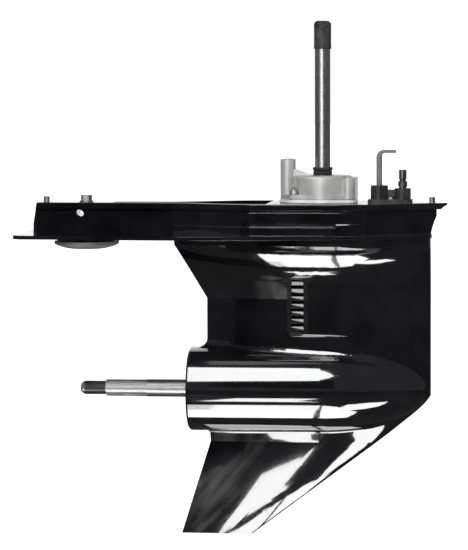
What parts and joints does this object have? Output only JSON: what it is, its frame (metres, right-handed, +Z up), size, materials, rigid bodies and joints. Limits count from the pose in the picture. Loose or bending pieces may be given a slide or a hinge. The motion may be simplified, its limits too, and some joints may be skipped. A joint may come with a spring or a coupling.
{
  "type": "outboard lower unit",
  "caption": "Outboard lower unit: black gear housing with skeg and anti-ventilation plate, bevel gears with dog clutch, drive and propeller shafts, water pump and shift gear.",
  "frame": {"origin": "where the drive-shaft axis crosses the top face of the deck that bolts to the motor", "axes": "+X towards the bow, +Y to port, +Z up along the drive shaft"},
  "size_m": [0.6147, 0.2, 0.7365],
  "materials": {
    "black_paint": "gloss black enamel over cast aluminium",
    "polished_steel": "ground and polished shaft steel",
    "gear_steel": "case-hardened gear steel",
    "bearing_steel": "ground bearing steel",
    "black_rubber": "matt black rubber",
    "black_plastic": "matt black moulding",
    "pump_alloy": "light grey moulded pump housing",
    "stainless": "stainless steel",
    "zinc": "sacrificial zinc alloy, as cast",
    "bronze": "bronze",
    "gasket": "fibre gasket sheet"
  },
  "bodies": {
    "gearcase": {"gear_housing": "black_paint", "intake_screen_starboard": "black_plastic", "intake_screen_port": "black_plastic", "dowel_pins": "stainless", "anode": "zinc", "anode_washer": "stainless", "anode_bolt": "stainless", "pinion_bearing": "bearing_steel", "upper_bearing": "bearing_steel", "bearing_retainer": "gear_steel", "forward_bearing": "bearing_steel", "reverse_bearing": "bearing_steel", "bearing_carrier": "black_paint", "carrier_o_ring": "black_rubber", "carrier_needles": "bearing_steel", "prop_shaft_seals": "black_rubber", "carrier_tab_washer": "stainless", "carrier_nut": "bronze", "pump_gasket": "gasket", "pump_base": "stainless", "pump_wear_plate": "stainless", "pump_body": "pump_alloy", "pump_liner": "stainless", "pump_seal": "black_rubber", "outlet_grommet": "black_rubber", "pump_studs": "stainless", "pump_nuts": "stainless", "shift_block": "black_plastic", "shift_block_screws": "stainless", "vent_elbow": "black_plastic"},
    "drive": {"drive_shaft": "polished_steel", "drive_shaft_cap": "black_plastic", "slinger": "black_rubber", "impeller": "black_rubber", "pinion_gear": "gear_steel", "pinion_nut": "gear_steel"},
    "forward_gear": {"forward_gear": "gear_steel"},
    "reverse_gear": {"reverse_gear": "gear_steel"},
    "propeller_shaft": {"propeller_shaft": "polished_steel"},
    "clutch": {"dog_clutch": "gear_steel", "clutch_cross_pin": "bearing_steel", "clutch_spring": "stainless", "shift_slider": "bearing_steel"},
    "follower": {"cam_follower": "bronze"},
    "shift": {"shift_shaft": "gear_steel", "shift_crank": "gear_steel"}
  },
  "joints": [
    {"name": "drive_shaft_spin", "type": "hinge", "parent": "gearcase", "child": "drive", "pos_m": [0, 0, 0], "axis": [0, 0, 1], "continuous": true},
    {"name": "forward_gear_spin", "type": "hinge", "parent": "gearcase", "child": "forward_gear", "pos_m": [0.04, 0, -0.268], "axis": [1, 0, 0], "continuous": true},
    {"name": "reverse_gear_spin", "type": "hinge", "parent": "gearcase", "child": "reverse_gear", "pos_m": [-0.04, 0, -0.268], "axis": [1, 0, 0], "continuous": true},
    {"name": "propeller_shaft_spin", "type": "hinge", "parent": "gearcase", "child": "propeller_shaft", "pos_m": [-0.1, 0, -0.268], "axis": [1, 0, 0], "continuous": true},
    {"name": "shift_turn", "type": "hinge", "parent": "gearcase", "child": "shift", "pos_m": [0.1144, 0, 0], "axis": [0, 0, 1], "range_deg": [-40, 40]},
    {"name": "clutch_slide", "type": "slide", "parent": "propeller_shaft", "child": "clutch", "axis": [1, 0, 0], "range_m": [-0.00578, 0.00578]},
    {"name": "follower_slide", "type": "slide", "parent": "gearcase", "child": "follower", "axis": [1, 0, 0], "range_m": [-0.0058, 0.0058]}
  ],
  "couplings": [
    {"joint": "forward_gear_spin", "follows": "drive_shaft_spin", "ratio": -0.5},
    {"joint": "reverse_gear_spin", "follows": "drive_shaft_spin", "ratio": 0.5},
    {"joint": "shift_turn", "follows": "clutch_slide", "rad_per_m": 120.68},
    {"joint": "follower_slide", "follows": "clutch_slide", "ratio": 1}
  ]
}
